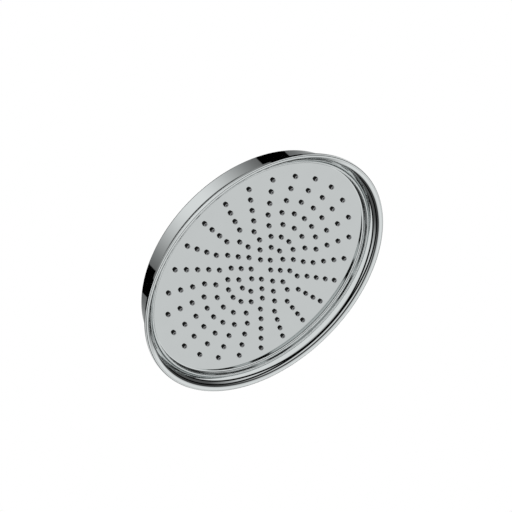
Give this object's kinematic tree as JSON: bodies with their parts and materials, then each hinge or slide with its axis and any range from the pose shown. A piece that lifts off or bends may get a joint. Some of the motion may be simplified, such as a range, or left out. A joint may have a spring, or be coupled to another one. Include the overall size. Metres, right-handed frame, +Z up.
{
  "type": "shower head",
  "caption": "Round chrome rain shower rose with a flared, rolled rim, a recessed spray plate with rubber nozzles, and a ball joint with a threaded inlet.",
  "frame": {"origin": "middle of the inlet's mouth, where the shower arm screws in", "axes": "+Z up out of the inlet, along the axis of the rose; the spray face looks down, along -Z; every ring of nozzles starts on -X"},
  "size_m": [0.225, 0.225, 0.0804],
  "materials": {
    "chrome": "polished",
    "chrome_fitting": "polished",
    "nozzle_rubber": "satin",
    "seal_rubber": "matte",
    "nylon": "satin",
    "cover_plastic": "satin",
    "regulator_plastic": "satin",
    "steel": "brushed",
    "brass": "satin"
  },
  "bodies": {
    "inlet": {"inlet_ball": "chrome_fitting", "inlet_washer": "seal_rubber", "filter_screen": "steel", "flow_regulator": "regulator_plastic", "regulator_ring": "seal_rubber"},
    "liner": {"friction_ring": "nylon"},
    "seat": {"ball_seat": "nylon"},
    "rose": {"ball_seal": "seal_rubber", "collar_nut": "chrome_fitting", "ball_socket": "chrome_fitting", "socket_gasket": "seal_rubber", "body_shell": "chrome", "waterway_cover": "cover_plastic", "spigot_seal": "seal_rubber", "nozzle_mat": "nozzle_rubber", "face_plate": "chrome", "cover_nuts": "brass", "cover_washers": "steel"}
  },
  "joints": [
    {"name": "tilt_x", "type": "hinge", "parent": "inlet", "child": "liner", "pos_m": [0, 0, -0.03], "axis": [1, 0, 0], "range_deg": [-12, 12]},
    {"name": "tilt_y", "type": "hinge", "parent": "liner", "child": "seat", "pos_m": [0, 0, -0.03], "axis": [0, 1, 0], "range_deg": [-12, 12]},
    {"name": "spin", "type": "hinge", "parent": "seat", "child": "rose", "pos_m": [0, 0, -0.03], "axis": [0, 0, 1], "continuous": true}
  ]
}
